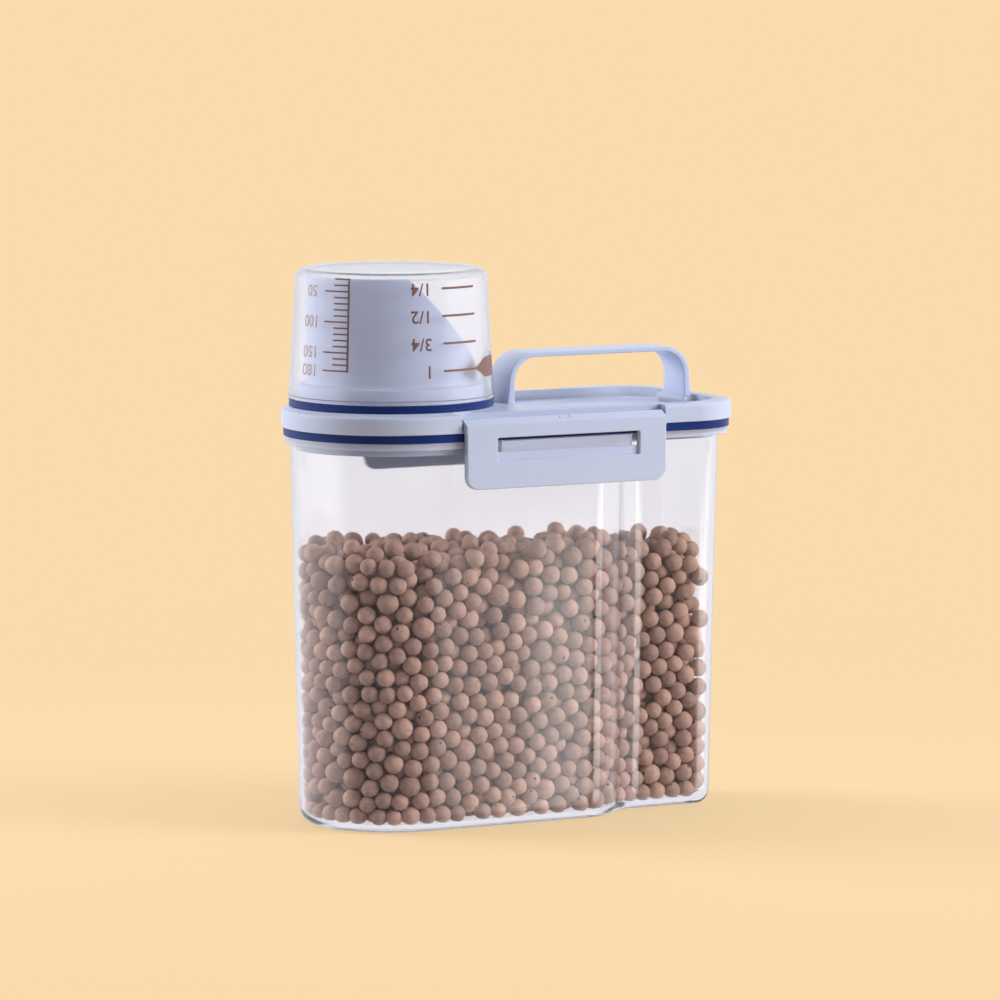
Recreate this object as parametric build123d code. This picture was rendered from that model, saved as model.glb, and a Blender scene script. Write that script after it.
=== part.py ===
from build123d import *
import os
from math import atan2, cos, radians, sin, tan

# Pet food storage container: a clear drafted box with a round front end and a narrow
# hand grip at the rear, a lid with a carry handle and a slant-cut pouring spout, a
# measuring cup that caps the spout, and a snap latch hinged on each long side.
# X runs along the length (spout end at -X), Y across, Z up from the table.

# Driving dimensions, millimetres and degrees
LENGTH = 200.0            # lid, end to end
WIDTH = 95.0              # lid, side to side
HEIGHT = 240.4            # table to the closed end of the upturned cup
DRAFT = 1.25              # moulding draft of the container walls
WALL = 1.8
FLOOR = 2.4

# Heights of the closing faces
FLANGE_TOP = 168.8
FLANGE_LIP = 3.5
FLANGE_PLATE = 1.8
FLANGE_LIP_WALL = 1.3
RIM_BOTTOM = 172.0
RIM_TOP = 180.0
BOSS_TOP = 181.0
SEAL_SEAT_GAP = 0.15
CUP_SEAL_TOP = 184.4
CUP_RIM = 184.5

# Plan shapes
CUP_X = -LENGTH / 2 + WIDTH / 2      # axis of the round front end, the spout and the cup
LID_REAR_CORNER = 26.0
FLANGE_INSET = 1.3
BODY_FRONT_R = 40.0                  # at the table, grows with the draft
BODY_REAR_HALF = 26.2
BODY_REAR_X = 92.9
BODY_REAR_CORNER = 6.0
WAIST = (CUP_X + 77.0, CUP_X + 108.0)  # where the sides step in to the grip
BASE_FILLET = 6.0
FOOT_RECESS = 0.8
FOOT_BAND = 2.5                      # flat ring left around the recess

# Food, loose baked balls
PELLET_R = 4.0
FOOD_GAP = PELLET_R / 3              # mean gap between a wall and the balls that touch it
FOOD_FLOOR_GAP = 0.2
FOOD_CROWN_X = -12.0                 # the heap is highest here and falls off on a sphere
FOOD_CROWN_Z = 125.5
FOOD_CROWN_R = 1400.0

# Lid
LID_SKIRT = 2.0
LID_PLATE = 1.8
RIM_ROUND = 1.8
PLUG_BOTTOM = 162.6
PLUG_GAP = 0.5
PLUG_WALL = 1.6
PAN_FLOOR = 176.0
PAN_X = (-2.0, 92.0)
PAN_HALF = 38.0
PAN_CORNER = 17.0
PAN_WALL = 1.8
SPOUT_HOLE_R = 38.2
SEAL_INSET = 0.9
SEAL_BAND = 4.5
BEAD_THICK = 2.3
BEAD_RISE = 3.0

# Spout
SPOUT_TOP = 238.0
SPOUT_R = 36.6
SPOUT_WALL = 1.6
COLLAR_R = 40.4
COLLAR_TOP = 191.0
CUT_START = CUP_X - 9.6
CUT_END_Z = 193.2
NECK_BOTTOM = 168.0
NECK_GAP = 0.15
SNAP_BEAD = 0.7
SPOUT_SEAL_R = 44.2
SEAL_EASE = 0.5

# Cup
CUP_RIM_R = 44.6
CUP_WALL_R = 44.1
CUP_END_R = 41.2
CUP_WALL = 1.5
CUP_END = 1.9
CUP_BEAD = 1.5            # height of the rim bead
CUP_END_FILLET = 4.5

# Handle
HANDLE_X = (-0.9, 91.3)
HANDLE_TOP = 201.6
HANDLE_LEAN = 2.4
HANDLE_WIDTH = 18.5
HANDLE_THICK = 2.1
HANDLE_CORNER = 12.5
LEG_THICK = 3.8
SOCKET_WALL = 2.4
SOCKET_HEIGHT = 3.2
SOCKET_GAP = 0.15

# Latches
LATCH_X = (-41.8, 55.3)
LATCH_BOTTOM = 147.9
LATCH_TOP = 175.3
LATCH_INNER = 47.5
LATCH_THICK = 2.8
LATCH_CORNER = 5.5
WINDOW_X = (-27.0, 42.2)
WINDOW_Z = (159.6, 169.7)
LEDGE_THICK = 1.2
LEDGE_TOP = 161.6
RIB_X = (-24.6, 39.6)
RIB_TIP = 48.5
CATCH_SLOPE = 1.6
CATCH_GAP = 0.3
EDGE_EASE = 0.6
PIN_Y = 45.6
PIN_Z = 175.6
PIN_R = 1.10
PIN_BORE_R = 1.17
BARREL_R = 2.3
NOTCH_GAP = 1.2
NOTCH_WALL_Y = 41.9
NOTCH_FLOOR = 173.1
BOSS_LENGTH = 5.0
LUG_X = (4.5, 9.0)
LUG_GAP = 0.35
LUG_WEB_RISE = 0.6        # web above the pin axis, low so that the open latch passes over it
PIN_INSET = 1.6
MERGE = 0.5               # overlap of solids that are fused


def plan(front_r, rear_half, rear_x, corner_r):
    """Closed outline: a half circle in front, long sides that step in by a smooth
    S of two equal arcs where the rear is narrower, and a rounded rear end."""
    step = front_r - rear_half
    x0, x1 = WAIST
    near = [ThreePointArc((CUP_X - front_r, 0), (CUP_X - front_r * cos(radians(45)),
                          -front_r * sin(radians(45))), (CUP_X, -front_r))]
    rear_start = (CUP_X, -front_r)
    if step > 0.01:
        run = x1 - x0
        r = (run * run + step * step) / (4 * step)
        middle = ((x0 + x1) / 2, -front_r + step / 2)
        half_turn = atan2(run / 2, r - step / 2) / 2
        out_mid = (x0 + r * sin(half_turn), -front_r + r * (1 - cos(half_turn)))
        in_mid = (x1 - r * sin(half_turn), -rear_half - r * (1 - cos(half_turn)))
        near.append(Line((CUP_X, -front_r), (x0, -front_r)))
        near.append(ThreePointArc((x0, -front_r), out_mid, middle))
        near.append(ThreePointArc(middle, in_mid, (x1, -rear_half)))
        rear_start = (x1, -rear_half)
    bend = corner_r * (1 - cos(radians(45)))
    near.append(Line(rear_start, (rear_x - corner_r, -rear_half)))
    near.append(ThreePointArc((rear_x - corner_r, -rear_half), (rear_x - bend, -rear_half + bend),
                              (rear_x, -rear_half + corner_r)))
    near.append(Line((rear_x, -rear_half + corner_r), (rear_x, 0)))
    far = [mirror(edge, about=Plane.XZ) for edge in near]
    return make_face(near + far)


def body_plan(inset, z=0.0):
    """Container outline, inset inwards, as it is at height z of the drafted wall."""
    grow = z * tan(radians(DRAFT)) - inset
    corner = max(BODY_REAR_CORNER + grow, 1.5)
    return plan(BODY_FRONT_R + grow, BODY_REAR_HALF + grow, BODY_REAR_X + grow, corner)


def drafted(inset, z0, z1):
    """Prism of the container outline between two heights, with the wall's draft."""
    face = Pos(0, 0, z0) * body_plan(inset, z0)
    return extrude(face, amount=z1 - z0, taper=-DRAFT)


def lid_prism(inset, z0, z1):
    """Upright prism of the lid outline, inset inwards."""
    half = WIDTH / 2 - inset
    face = plan(half, half, LENGTH / 2 - inset, LID_REAR_CORNER - inset)
    return extrude(Pos(0, 0, z0) * face, amount=z1 - z0)


def block(x, y, z):
    """Box between two values along each axis."""
    return Pos((x[0] + x[1]) / 2, (y[0] + y[1]) / 2, (z[0] + z[1]) / 2) * Box(
        x[1] - x[0], y[1] - y[0], z[1] - z[0])


def tube(points):
    """Solid of revolution about the cup axis from (radius, height) points."""
    profile = make_face(Polyline(*[(r, 0, z) for r, z in points], close=True))
    return Pos(CUP_X, 0, 0) * revolve(profile, Axis.Z)


def disc(r, z0, z1):
    """Upright cylinder on the cup axis."""
    return Pos(CUP_X, 0, (z0 + z1) / 2) * Cylinder(r, z1 - z0)


def rod_x(r, x, y, z):
    """Cylinder along X between two ends."""
    return Pos((x[0] + x[1]) / 2, y, z) * Rot(0, 90, 0) * Cylinder(r, x[1] - x[0])


def edges_at(solid, z):
    """Edges that lie wholly at one height."""
    return solid.edges().filter_by_position(Axis.Z, z - 0.01, z + 0.01)


def make_container():
    """Clear container: drafted shell, stiffening flange with a down-turned lip, a catch
    rib on each side and a shallow recess that leaves a foot ring under the floor."""
    shell = drafted(0, 0, FLANGE_TOP)
    shell = fillet(edges_at(shell, 0), BASE_FILLET)
    room = drafted(WALL, FLOOR, FLANGE_TOP + 1)
    room = fillet(edges_at(room, FLOOR), BASE_FILLET - WALL)
    lip = lid_prism(FLANGE_INSET, FLANGE_TOP - FLANGE_LIP, FLANGE_TOP)
    lip = fillet(edges_at(lip, FLANGE_TOP - FLANGE_LIP), 0.7)
    under = lid_prism(FLANGE_INSET + FLANGE_LIP_WALL, FLANGE_TOP - FLANGE_LIP - 1, FLANGE_TOP - FLANGE_PLATE)
    flange = lip - under
    foot = extrude(body_plan(BASE_FILLET + FOOT_BAND), amount=FOOT_RECESS)
    ribs = [catch_rib(), mirror(catch_rib(), about=Plane.XZ)]
    return (shell + flange + ribs[0] + ribs[1]) - room - foot


def catch_rib():
    """Rib on the near flange that the latch hooks under. Its underside slopes."""
    root = WIDTH / 2 - FLANGE_INSET - EDGE_EASE
    low = LEDGE_TOP + CATCH_GAP
    points = [(-root, low + CATCH_SLOPE * (root - LATCH_INNER)),
              (-RIB_TIP, low + CATCH_SLOPE * (RIB_TIP - LATCH_INNER)),
              (-RIB_TIP, FLANGE_TOP - 2 * EDGE_EASE), (-RIB_TIP + EDGE_EASE, FLANGE_TOP - EDGE_EASE),
              (-root, FLANGE_TOP - EDGE_EASE)]
    return along_x(points, RIB_X)


def make_food():
    """The fill of loose balls as one solid: its skin runs at the balls' mean surface,
    a little inside the walls that they touch, and its top is a slightly crowned heap."""
    z0 = FLOOR + FOOD_FLOOR_GAP
    fill = drafted(WALL + FOOD_GAP, z0, FOOD_CROWN_Z + 1)
    fill = fillet(edges_at(fill, z0), BASE_FILLET - WALL)
    return fill & Pos(FOOD_CROWN_X, 0, FOOD_CROWN_Z - FOOD_CROWN_R) * Sphere(FOOD_CROWN_R)


def make_lid():
    """Lid: hollow rim, plug skirt that enters the container, sunk pan between the handle
    legs, raised ring around the spout hole and a notch with a hinge lug on each side."""
    lid = lid_prism(0, RIM_BOTTOM, RIM_TOP)
    lid = fillet(edges_at(lid, RIM_TOP), RIM_ROUND)
    lid = fillet(edges_at(lid, RIM_BOTTOM), EDGE_EASE)
    lid += disc(CUP_RIM_R, RIM_TOP - 1, BOSS_TOP)
    lid -= lid_prism(LID_SKIRT, RIM_BOTTOM - 1, RIM_TOP - LID_PLATE)
    lid += pan_prism(PAN_WALL, PAN_FLOOR - LID_PLATE, RIM_TOP - MERGE)
    plug_outer = drafted(WALL + PLUG_GAP, PLUG_BOTTOM, RIM_TOP - MERGE)
    plug_outer = chamfer(edges_at(plug_outer, PLUG_BOTTOM), PLUG_GAP)
    plug_inner = drafted(WALL + PLUG_GAP + PLUG_WALL, PLUG_BOTTOM - 1, RIM_TOP)
    lid += plug_outer - plug_inner
    lid -= pan_prism(0, PAN_FLOOR, RIM_TOP + 1)
    for side in (1, -1):
        lid = hinge_seat(lid, side)
    lid += handle_sockets()
    lid -= disc(SPOUT_HOLE_R, PLUG_BOTTOM - 2, BOSS_TOP + 1)
    return lid


def pan_prism(grow, z0, z1):
    """Rounded prism of the sunk pan."""
    x = (PAN_X[0] - grow, PAN_X[1] + grow)
    size = (x[1] - x[0], 2 * (PAN_HALF + grow))
    face = Pos((x[0] + x[1]) / 2, 0) * Rectangle(*size)
    face = fillet(face.vertices().group_by(Axis.X)[-1], PAN_CORNER + grow)
    face = fillet(face.vertices().group_by(Axis.X)[0], 3.0)
    return extrude(Pos(0, 0, z0) * face, amount=z1 - z0)


def hinge_seat(lid, side):
    """Notch, end bosses, floor ledge, centre lug and pin bore for one latch."""
    notch_x = (LATCH_X[0] - NOTCH_GAP, LATCH_X[1] + NOTCH_GAP)
    boss_x = (notch_x[0] - BOSS_LENGTH, notch_x[1] + BOSS_LENGTH)
    inner = NOTCH_WALL_Y - 2.0
    rim_y = WIDTH / 2 - EDGE_EASE
    lid += span(boss_x, (inner, rim_y), (RIM_BOTTOM, RIM_TOP - 1), side)
    lid -= span(notch_x, (NOTCH_WALL_Y, WIDTH), (NOTCH_FLOOR, RIM_TOP + 1), side)
    lid -= span(notch_x, (LATCH_INNER - 0.9, WIDTH), (RIM_BOTTOM - 1, RIM_TOP + 1), side)
    web = span(LUG_X, (NOTCH_WALL_Y - MERGE, PIN_Y), (NOTCH_FLOOR - MERGE, PIN_Z + LUG_WEB_RISE), side)
    lid += web + rod_x(BARREL_R, LUG_X, side * PIN_Y, PIN_Z)
    return lid - rod_x(PIN_BORE_R, (boss_x[0] + 1, boss_x[1] - 1), side * PIN_Y, PIN_Z)


def span(x, v, z, side):
    """Box whose Y range is given as distances from the middle, on one side."""
    y = (v[0], v[1]) if side > 0 else (-v[1], -v[0])
    return block(x, y, z)


def handle_sockets():
    """Low pockets in the pan that the handle legs stand in."""
    parts = None
    for x in ((HANDLE_X[0], HANDLE_X[0] + LEG_THICK), (HANDLE_X[1] - LEG_THICK, HANDLE_X[1])):
        half = HANDLE_WIDTH / 2
        outer = block((x[0] - SOCKET_WALL, x[1] + SOCKET_WALL), (-half - SOCKET_WALL, half + SOCKET_WALL),
                      (PAN_FLOOR - MERGE, PAN_FLOOR + SOCKET_HEIGHT))
        outer = fillet(outer.edges().filter_by(Axis.Z), 1.5)
        pocket = block((x[0] - SOCKET_GAP, x[1] + SOCKET_GAP), (-half - SOCKET_GAP, half + SOCKET_GAP),
                       (PAN_FLOOR, RIM_TOP + 1))
        socket = outer - pocket
        parts = socket if parts is None else parts + socket
    return parts


def make_lid_seal():
    """Silicone ring between the lid rim and the container flange, with a bead that
    plugs into the hollow rim except where the latch seats close it."""
    ring = lid_prism(SEAL_INSET, FLANGE_TOP + SEAL_SEAT_GAP, RIM_BOTTOM)
    ring -= lid_prism(SEAL_INSET + SEAL_BAND, FLANGE_TOP - 1, RIM_BOTTOM + 1)
    bead = lid_prism(LID_SKIRT + 0.1, RIM_BOTTOM - MERGE, RIM_BOTTOM + BEAD_RISE)
    bead -= lid_prism(LID_SKIRT + 0.1 + BEAD_THICK, RIM_BOTTOM - 1, RIM_BOTTOM + BEAD_RISE + 1)
    clear_x = (LATCH_X[0] - NOTCH_GAP - BOSS_LENGTH - 0.2, LATCH_X[1] + NOTCH_GAP + BOSS_LENGTH + 0.2)
    for side in (1, -1):
        bead -= span(clear_x, (WIDTH / 4, WIDTH), (RIM_BOTTOM, RIM_TOP), side)
        step = span((LATCH_X[0] - NOTCH_GAP, LATCH_X[1] + NOTCH_GAP), (LATCH_INNER - 0.9, WIDTH),
                    (FLANGE_TOP, RIM_BOTTOM + 1), side)
        ring -= step
    return ring + bead


def make_spout():
    """Pouring spout: a neck that snaps into the lid, a collar that the cup fits over and
    a tall tube cut off at 45 degrees so that its front wall guides the food."""
    inner = SPOUT_R - SPOUT_WALL
    neck = SPOUT_HOLE_R - NECK_GAP
    plate_under = RIM_TOP - LID_PLATE
    points = [(inner + 0.4, NECK_BOTTOM), (neck - 0.5, NECK_BOTTOM), (neck, NECK_BOTTOM + 1), (neck, plate_under - 2.0),
              (neck + SNAP_BEAD, plate_under - 1.0), (neck + SNAP_BEAD, plate_under - 0.5), (neck, plate_under - 0.05),
              (neck, BOSS_TOP), (COLLAR_R, BOSS_TOP), (COLLAR_R, COLLAR_TOP - 0.8),
              (COLLAR_R - 0.8, COLLAR_TOP), (SPOUT_R + 1.4, COLLAR_TOP), (SPOUT_R + 0.5, COLLAR_TOP + 1.2),
              (SPOUT_R, SPOUT_TOP), (inner, SPOUT_TOP)]
    body = tube(points)
    fall = SPOUT_TOP - CUT_END_Z
    cut = [(CUT_START - 12, SPOUT_TOP + 12), (CUT_START, SPOUT_TOP), (CUT_START + fall, CUT_END_Z),
           (CUP_X + WIDTH, CUT_END_Z), (CUP_X + WIDTH, SPOUT_TOP + 12)]
    wedge = make_face(Polyline(*[(x, -WIDTH, z) for x, z in cut], close=True))
    return body - extrude(wedge, amount=2 * WIDTH, dir=(0, 1, 0))


def make_spout_seal():
    """Silicone ring around the collar that the cup's mouth presses on."""
    inner, outer, ease = COLLAR_R + 0.1, SPOUT_SEAL_R, SEAL_EASE
    groove = (BOSS_TOP + CUP_SEAL_TOP) / 2
    points = [(inner, BOSS_TOP), (outer - ease, BOSS_TOP), (outer, BOSS_TOP + ease), (outer, groove - ease),
              (outer - 0.35, groove), (outer, groove + ease), (outer, CUP_SEAL_TOP - ease),
              (outer - ease, CUP_SEAL_TOP), (inner, CUP_SEAL_TOP)]
    return tube(points)


def make_cup():
    """Measuring cup, upturned: tapered clear shell with a rim bead and a rounded end."""
    end_z = HEIGHT - CUP_END
    profile = make_face(Polyline((0, 0, HEIGHT), (CUP_END_R, 0, HEIGHT), (CUP_WALL_R, 0, CUP_RIM + CUP_BEAD + 0.3),
                                 (CUP_RIM_R, 0, CUP_RIM + CUP_BEAD), (CUP_RIM_R, 0, CUP_RIM),
                                 (CUP_WALL_R - CUP_WALL, 0, CUP_RIM), (CUP_END_R - CUP_WALL, 0, end_z),
                                 (0, 0, end_z), close=True))
    for z, radius in ((HEIGHT, CUP_END_FILLET), (end_z, CUP_END_FILLET - CUP_WALL)):
        level = profile.vertices().filter_by_position(Axis.Z, z - 0.01, z + 0.01)
        profile = fillet(level.sort_by(Axis.X)[-1], radius)
    return Pos(CUP_X, 0, 0) * revolve(profile, Axis.Z)


def make_handle():
    """Carry handle: one flat strap bent into an arch, with thicker leaning legs."""
    x0, x1 = HANDLE_X
    foot = PAN_FLOOR
    outer = [(x0, foot), (x0 + HANDLE_LEAN, HANDLE_TOP), (x1 - HANDLE_LEAN, HANDLE_TOP), (x1, foot)]
    lean = HANDLE_LEAN + HANDLE_THICK
    inner = [(x0 + LEG_THICK, foot - 1), (x0 + lean, HANDLE_TOP - HANDLE_THICK),
             (x1 - lean, HANDLE_TOP - HANDLE_THICK), (x1 - LEG_THICK, foot - 1)]
    arch = strap_face(outer, HANDLE_CORNER) - strap_face(inner, HANDLE_CORNER - HANDLE_THICK)
    strap = extrude(arch, amount=HANDLE_WIDTH / 2, both=True)
    long_edges = strap.edges().filter_by(lambda e: abs(e.center().Z - foot) > 1.0
                                         and abs(abs(e.center().Y) - HANDLE_WIDTH / 2) < 0.01)
    return fillet(long_edges, EDGE_EASE)


def strap_face(points, corner):
    """Upright four-sided face in the XZ plane whose two upper corners are rounded."""
    face = Plane.XZ * make_face(Polyline(*points, close=True))
    return fillet(face.vertices().group_by(Axis.Z)[-1], corner)


def make_latch():
    """Near latch: a flat plate with rounded lower corners and a window for the catch
    rib, a hooking ledge at the window's foot, and a barrel that turns on the pin."""
    x = LATCH_X
    outer_y = -(LATCH_INNER + LATCH_THICK)
    height = LATCH_TOP - LATCH_BOTTOM
    face = Pos((x[0] + x[1]) / 2, (LATCH_TOP + LATCH_BOTTOM) / 2) * Rectangle(x[1] - x[0], height)
    face = fillet(face.vertices().group_by(Axis.Y)[0], LATCH_CORNER)
    window = Pos((WINDOW_X[0] + WINDOW_X[1]) / 2, sum(WINDOW_Z) / 2) * RectangleRounded(
        WINDOW_X[1] - WINDOW_X[0], WINDOW_Z[1] - WINDOW_Z[0], 0.8)
    plate = extrude(Plane.XZ.offset(LATCH_INNER) * (face - window), amount=LATCH_THICK)
    front = plate.edges().filter_by_position(Axis.Y, outer_y - 0.01, outer_y + 0.01)
    plate = fillet(front.filter_by(lambda e: e.center().Z < LATCH_TOP - MERGE), EDGE_EASE)
    hook = [(-LATCH_INNER, WINDOW_Z[0] - MERGE), (-LATCH_INNER, LEDGE_TOP),
            (-LATCH_INNER - LEDGE_THICK, LEDGE_TOP + CATCH_SLOPE * LEDGE_THICK),
            (-LATCH_INNER - LEDGE_THICK, WINDOW_Z[0] - MERGE)]
    ledge = along_x(hook, (WINDOW_X[0] - 0.4, WINDOW_X[1] + 0.4))
    shoulder = along_x([(outer_y, LATCH_TOP - 3.5), (outer_y, LATCH_TOP), (outer_y + EDGE_EASE, LATCH_TOP + 0.5),
                        (-PIN_Y - 0.3, PIN_Z + BARREL_R), (-PIN_Y, PIN_Z), (-PIN_Y - 0.3, PIN_Z - BARREL_R),
                        (-LATCH_INNER, PIN_Z - BARREL_R)], x)
    barrel = rod_x(BARREL_R, x, -PIN_Y, PIN_Z)
    latch = plate + ledge + shoulder + barrel
    lug_room = (LUG_X[0] - LUG_GAP, LUG_X[1] + LUG_GAP)
    latch -= rod_x(BARREL_R + 0.4, lug_room, -PIN_Y, PIN_Z)
    latch -= block(lug_room, (-PIN_Y, -PIN_Y + 5), (PIN_Z - 5, PIN_Z + 5))
    return latch - rod_x(PIN_BORE_R, (x[0] - 1, x[1] + 1), -PIN_Y, PIN_Z)


def along_x(points, x):
    """Prism along X of a profile given as (y, z) points."""
    profile = make_face(Polyline(*[(x[0], y, z) for y, z in points], close=True))
    return extrude(profile, amount=x[1] - x[0], dir=(1, 0, 0))


def make_pin():
    """Near hinge pin, held by the end bosses and the centre lug of the lid."""
    reach = NOTCH_GAP + BOSS_LENGTH - PIN_INSET
    return rod_x(PIN_R, (LATCH_X[0] - reach, LATCH_X[1] + reach), -PIN_Y, PIN_Z)


def make_all():
    """Every piece by its name."""
    latch, pin = make_latch(), make_pin()
    return {
        "container_body": make_container(),
        "food_fill": make_food(),
        "lid": make_lid(),
        "lid_seal": make_lid_seal(),
        "pour_spout": make_spout(),
        "spout_seal": make_spout_seal(),
        "measuring_cup": make_cup(),
        "carry_handle": make_handle(),
        "front_latch": latch,
        "back_latch": mirror(latch, about=Plane.XZ),
        "front_hinge_pin": pin,
        "back_hinge_pin": mirror(pin, about=Plane.XZ),
    }


if __name__ == "__main__":
    os.makedirs("parts", exist_ok=True)
    for name, piece in make_all().items():
        export_step(piece, f"parts/{name}.step")
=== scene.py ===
import math

import bmesh
import bpy
import numpy as np
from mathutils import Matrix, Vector


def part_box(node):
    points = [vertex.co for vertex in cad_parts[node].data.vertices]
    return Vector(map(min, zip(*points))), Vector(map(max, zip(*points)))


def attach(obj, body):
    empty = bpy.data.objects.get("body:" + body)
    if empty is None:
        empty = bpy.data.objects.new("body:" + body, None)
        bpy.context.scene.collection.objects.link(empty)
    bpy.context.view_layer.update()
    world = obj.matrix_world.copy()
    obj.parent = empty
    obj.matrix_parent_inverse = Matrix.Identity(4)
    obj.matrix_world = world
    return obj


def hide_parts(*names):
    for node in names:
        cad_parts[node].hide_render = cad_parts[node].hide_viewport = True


bl_info = {
    "name": "Dry food keeper",
    "version": (1, 0, 0),
    "blender": (4, 5, 0),
    "location": "View3D > Sidebar > Keeper",
    "description": "Dresses a clear dry food keeper with its lid, spout, cup, latches and pellets",
    "category": "Add Mesh",
}

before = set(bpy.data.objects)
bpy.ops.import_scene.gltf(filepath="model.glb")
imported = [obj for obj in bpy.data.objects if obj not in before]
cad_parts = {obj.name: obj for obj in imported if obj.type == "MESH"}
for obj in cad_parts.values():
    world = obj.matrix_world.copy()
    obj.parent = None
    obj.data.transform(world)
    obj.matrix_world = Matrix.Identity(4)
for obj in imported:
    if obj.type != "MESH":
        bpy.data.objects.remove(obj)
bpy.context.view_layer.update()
MM = 0.001

LID_LOW, LID_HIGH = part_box("lid")
CUP_LOW, CUP_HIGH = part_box("measuring_cup")
SHELL_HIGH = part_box("container_body")[1]
SPOUT_LOW, SPOUT_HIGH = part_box("pour_spout")
FOOD_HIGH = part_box("food_fill")[1]
HANDLE_LOW, HANDLE_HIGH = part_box("carry_handle")
CUP_AXIS_X = (CUP_LOW.x + CUP_HIGH.x) / 2

# Container
SPINE_LENGTH = 120 * MM
FLANGE_DEPTH = 3.6 * MM
LIP_DEPTH, PLATE_DEPTH, LIP_WALL = 3.5 * MM, 1.8 * MM, 1.3 * MM
RECESS_DEPTH, FOOT_WIDTH = 0.8 * MM, 2.5 * MM
RIB_START, RIB_END, RIB_EASE = -24.6 * MM, 39.6 * MM, 0.4 * MM
RIB_SEAT = 46.22 * MM

# Food pellets
PELLET_COUNT = 3380
PELLET_STEPS = 400
PELLET_FALL = 0.045 * MM
PELLET_SPREAD = 0.17 * MM
PELLET_SMALLEST, PELLET_LARGE, PELLET_LARGEST = 3.5 * MM, 4.4 * MM, 5.0 * MM
LARGE_SHARE = 0.07
PELLET_REACH, PELLET_PUSH, PELLET_SQUASH = 2.9, 2.2, 0.018
POUR_COUNT, PELLET_SEED = 30000, 11
FLOOR_GAP = 0.5 * MM
HEAP_PEAK_X, HEAP_RADIUS = -0.012, 1.4
POUR_LOW, POUR_HIGH = (-0.1, -0.045, 0.004), (0.1, 0.045, 0.128)
POUR_SPINE_END = 0.06

# Measuring cup and its print
CUP_RIM, CUP_END, CUP_BEND = 44.1 * MM, 41.2 * MM, 4.5 * MM
CUP_BEAD = 1.8 * MM
PRINT_RADIUS = 43 * MM
SCALE_FOOT, SCALE_PITCH = 14.3 * MM, 2.6 * MM
SCALE_LINE, SHORT_TICK, LONG_TICK = -39.4 * MM, 7.4 * MM, 12.6 * MM
THIN_STROKE, BOLD_STROKE, INK_DEPTH = 0.34 * MM, 0.48 * MM, 0.03 * MM
FRACTION_START, FRACTION_END = 3.0 * MM, 22.7 * MM
POINTER_START, POINTER_LENGTH = 21.5 * MM, 22 * MM
POINTER_TIP, POINTER_HALF = 0.05 * MM, 4.25 * MM
NUMBER_SIZE, NUMBER_PLACE = 7.0 * MM, -60.4 * MM
FRACTION_SIZE, FRACTION_PLACE, WHOLE_PLACE = 7.5 * MM, -6.9 * MM, -3.7 * MM

# Spout
SPOUT_OUTER, SPOUT_INNER = 36.6 * MM, 35.0 * MM
SPOUT_FOOT, SPOUT_REAR, SPOUT_LEVEL = 192.9 * MM, 193.2 * MM, 9.6 * MM
SPOUT_EDGE = 0.55 * MM

# Seals
SPOUT_SEAL_LOW = 181.02 * MM
LID_SEAL_LOW, LID_SEAL_HIGH, SEAL_LIP = 168.95 * MM, 172.0 * MM, 0.5 * MM

# Stage
CAMERA_PLACE, CAMERA_LENS = (-1.3199, -2.4834, 0.4474), 234
CAMERA_TILT, CAMERA_TURN = 6.3, -28
CARD_Y, CARD_LOW, CARD_HIGH = -1.3, -0.5, -0.05
CARD_SHOULDER = (0.36, 0.64)
CARD_PANEL = (0.6725, 0.7512)
CARD_STRIP = (0.84, 1.5)
CARD_FADE = (-0.125, -0.075)
FLOOR_SHARE, FLOOR_DROP = 0.95, -0.2 * MM
FLOOR_CALM = 0.6
FLOOR_RINGS = (0.0, 0.15, 0.3, 0.45, 0.7, 1.0)
FLOOR_THIN = (0.16, 0.5)
# Each lamp: name, place, aim, width, height, radiance
LAMPS = (
    ("front_right_box", (1.25, -1.05, 0.7), (0.0, 0, 0.12), 1.0, 0.9, 10.5),
    ("left_box", (-1.0, 0.9, 0.55), (-0.05, 0, 0.15), 0.8, 1.0, 8.0),
    ("top_box", (0.1, 0.3, 1.5), (0, 0, 0.1), 1.2, 1.0, 1.0),
)


def size_field(name, description, value, unit="LENGTH"):
    """Property for a length of the keeper, or for an angle with the unit ROTATION."""
    return bpy.props.FloatProperty(name=name, description=description, default=value, unit=unit)


def colour_field(name, description, value):
    """Property for a colour of the keeper."""
    return bpy.props.FloatVectorProperty(
        name=name, description=description, default=value, subtype="COLOR", min=0, max=1)


class KeeperSizes(bpy.types.PropertyGroup):
    """Sizes that a user of the keeper would change: lengths in metres, and one angle"""

    front_radius: size_field("Front radius", "Radius of the round front end at the table", 40 * MM)
    grip_half: size_field("Grip half width", "Half the width of the hand grip at the table", 26.2 * MM)
    rear_x: size_field("Rear end", "Where the grip's rear wall stands at the table", 92.9 * MM)
    rear_corner: size_field("Grip corner", "Corner radius of the grip's rear wall at the table", 6 * MM)
    waist_start: size_field("Waist start", "Distance behind the cup axis where the sides step in", 77 * MM)
    waist_end: size_field("Waist end", "Distance behind the cup axis where the grip begins", 108 * MM)
    draft: size_field("Draft", "Lean of the moulded walls", math.radians(1.25), "ROTATION")
    wall: size_field("Wall", "Wall thickness of the container", 1.8 * MM)
    floor: size_field("Floor", "Height of the container's inner floor", 2.4 * MM)
    base_fillet: size_field("Base rounding", "Rounding where the walls meet the base", 6 * MM)
    lid_corner: size_field("Lid corner", "Corner radius of the lid's rear end", 26 * MM)
    flange_inset: size_field("Flange inset", "How far the flange stands back from the lid's edge", 1.3 * MM)
    pellet_radius: size_field("Pellet radius", "Mean radius of the food pellets", 3.95 * MM)


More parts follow.
